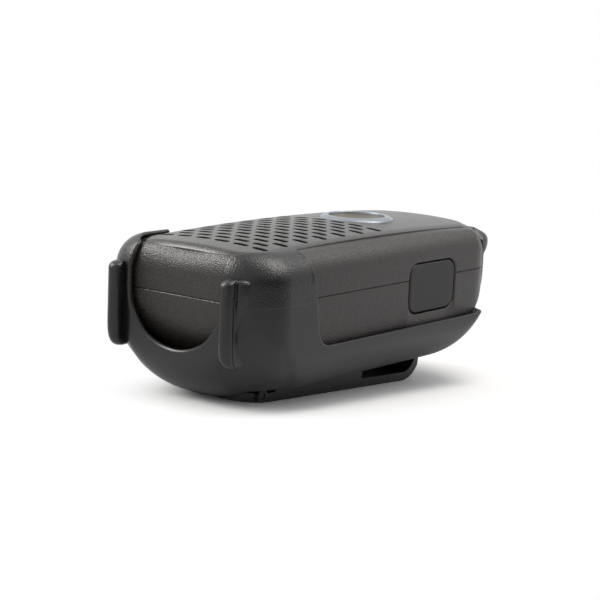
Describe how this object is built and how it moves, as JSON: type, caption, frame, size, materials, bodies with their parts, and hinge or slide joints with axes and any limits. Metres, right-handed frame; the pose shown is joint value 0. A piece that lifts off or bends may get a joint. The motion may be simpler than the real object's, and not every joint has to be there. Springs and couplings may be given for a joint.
{
  "type": "handheld two-way radio in belt holster",
  "caption": "Slim handheld two-way radio with a slotted speaker front and a round front button, held in a snap-in holster with a sprung belt clip.",
  "frame": {"origin": "on the outer face of the belt clip, under the middle of the radio's length and width", "axes": "+X to the side with the charging socket, +Y along the clip from its pin to its tip, +Z from the clip up to the radio's front"},
  "size_m": [0.05, 0.1108, 0.0428],
  "materials": {
    "radio_shell": "fine-grained black moulding",
    "panel": "dark grey satin moulding",
    "rubber": "soft black rubber",
    "steel": "plain steel",
    "tinned_steel": "tinned pressing",
    "brass": "plated contact metal",
    "battery_wrap": "shrink wrap",
    "circuit_board": "green solder mask",
    "magnet": "sintered magnet",
    "cone": "black pressed paper",
    "cloth": "black cloth and foam",
    "button": "glossy dark cap",
    "light_ring": "silvery light guide",
    "switch": "switch body",
    "lamp": "clear lamp body",
    "holster": "satin black moulding"
  },
  "bodies": {
    "radio_and_cradle": {"front_shell": "radio_shell", "front_panel": "panel", "rear_shell": "radio_shell", "shell_gasket": "rubber", "shell_screws": "steel", "battery_door": "radio_shell", "battery_pack": "battery_wrap", "battery_contacts": "brass", "main_board": "circuit_board", "board_screws": "steel", "rf_shield": "tinned_steel", "antenna": "brass", "speaker_frame": "tinned_steel", "speaker_magnet": "magnet", "speaker_cone": "cone", "speaker_gasket": "cloth", "speaker_cloth": "cloth", "microphone": "tinned_steel", "mic_boot": "rubber", "button_ring": "light_ring", "button_switch": "switch", "status_leds": "lamp", "ptt_switch": "switch", "volume_switches": "switch", "usb_socket": "tinned_steel", "holster_cradle": "holster", "clip_pin": "steel", "clip_spring": "steel"},
    "front_button": {"front_button": "button"},
    "talk_button": {"ptt_button": "rubber"},
    "volume_rocker": {"volume_rocker": "rubber"},
    "socket_cover": {"usb_cover": "rubber"},
    "release_latch": {"release_latch": "holster"},
    "belt_clip": {"clip_lever": "holster"}
  },
  "joints": [
    {"name": "front_button_press", "type": "slide", "parent": "radio_and_cradle", "child": "front_button", "axis": [0, 0.0593, -0.9982], "range_m": [0, 0.0008], "stiffness_N_per_m": 2500, "springref_m": -0.0002},
    {"name": "talk_button_press", "type": "slide", "parent": "radio_and_cradle", "child": "talk_button", "axis": [1, 0, 0], "range_m": [0, 0.0008], "stiffness_N_per_m": 3000, "springref_m": -0.0002},
    {"name": "volume_rock", "type": "hinge", "parent": "radio_and_cradle", "child": "volume_rocker", "pos_m": [-0.0221, 0.02229, 0.0237], "axis": [0, -0.0593, 0.9982], "range_deg": [-3.5, 3.5], "stiffness_Nm_per_rad": 0.22},
    {"name": "socket_cover_swing", "type": "hinge", "parent": "radio_and_cradle", "child": "socket_cover", "pos_m": [0.023, 0.02978, 0.02735], "axis": [0, -0.0593, 0.9982], "range_deg": [0, 110], "stiffness_Nm_per_rad": 0.004, "springref_deg": -5.73},
    {"name": "release_latch_flex", "type": "hinge", "parent": "radio_and_cradle", "child": "release_latch", "pos_m": [0, 0.04971, 0.02077], "axis": [-1, 0, 0], "range_deg": [0, 12], "stiffness_Nm_per_rad": 0.6, "springref_deg": -1.72},
    {"name": "belt_clip_open", "type": "hinge", "parent": "radio_and_cradle", "child": "belt_clip", "pos_m": [0, -0.0315, 0.00162], "axis": [-1, 0, 0], "range_deg": [0, 16], "stiffness_Nm_per_rad": 0.4, "springref_deg": -14.32}
  ]
}
